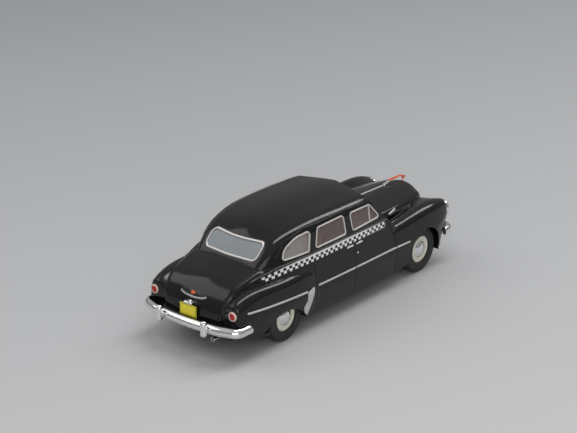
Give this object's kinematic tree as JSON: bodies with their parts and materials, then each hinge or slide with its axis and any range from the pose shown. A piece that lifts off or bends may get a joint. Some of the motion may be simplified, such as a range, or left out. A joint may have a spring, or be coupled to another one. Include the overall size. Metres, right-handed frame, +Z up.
{
  "type": "scale model taxi car",
  "caption": "Collector's scale model of a black six-window limousine taxi with a checker band, bright trim and wheels that turn on through axles.",
  "frame": {"origin": "on the floor under the middle of the model's bounding box", "axes": "+X forward towards the hood, +Y to the car's left, +Z up"},
  "size_m": [0.1276, 0.0444, 0.039],
  "materials": {
    "black_paint": "gloss",
    "chassis_black": "satin",
    "chrome": "polished",
    "bright_frame": "satin silver",
    "clear_glass": "clear",
    "lamp_glass": "clear",
    "checker_print": "printed black and white squares",
    "badge_black": "gloss",
    "red_lens": "gloss",
    "red_enamel": "gloss",
    "yellow_plate": "gloss",
    "brown_trim": "satin",
    "cream_paint": "gloss",
    "tyre": "matte",
    "steel": "bright"
  },
  "bodies": {
    "car": {"body_shell": "black_paint", "base_plate": "chassis_black", "exhaust_pipe": "chrome", "side_window_frames": "bright_frame", "side_glass": "clear_glass", "rear_window_frame": "bright_frame", "rear_glass": "clear_glass", "windscreen_frame": "bright_frame", "windscreen_glass": "clear_glass", "checker_bands": "checker_print", "side_mouldings": "chrome", "stone_guards": "chrome", "door_handles": "chrome", "hood_spears": "chrome", "hood_strip": "chrome", "wipers": "bright_frame", "drip_rails": "black_paint", "rear_bumper": "chrome", "front_bumper": "chrome", "grille": "chrome", "headlamp_rims": "chrome", "headlamp_lenses": "lamp_glass", "tail_lamp_rims": "chrome", "tail_lamp_lenses": "red_lens", "rear_plate": "yellow_plate", "plate_lamp": "chrome", "badge_lip": "chrome", "badge_oval": "badge_black", "badge_boss": "red_enamel", "ornament_spear": "chrome", "ornament_edge": "red_enamel", "interior_tub": "brown_trim", "rear_seat": "brown_trim", "front_seat": "brown_trim", "parcel_shelf": "brown_trim", "dashboard": "chassis_black", "steering_wheel": "cream_paint"},
    "front_wheels": {"front_axle": "steel", "front_tyre_left": "tyre", "front_disc_left": "cream_paint", "front_cap_left": "chrome", "front_tyre_right": "tyre", "front_disc_right": "cream_paint", "front_cap_right": "chrome"},
    "rear_wheels": {"rear_axle": "steel", "rear_tyre_left": "tyre", "rear_disc_left": "cream_paint", "rear_cap_left": "chrome", "rear_tyre_right": "tyre", "rear_disc_right": "cream_paint", "rear_cap_right": "chrome"}
  },
  "joints": [
    {"name": "front_axle_spin", "type": "hinge", "parent": "car", "child": "front_wheels", "pos_m": [0.0422, 0, 0.00855], "axis": [0, 1, 0], "continuous": true},
    {"name": "rear_axle_spin", "type": "hinge", "parent": "car", "child": "rear_wheels", "pos_m": [-0.0322, 0, 0.00855], "axis": [0, 1, 0], "continuous": true}
  ]
}
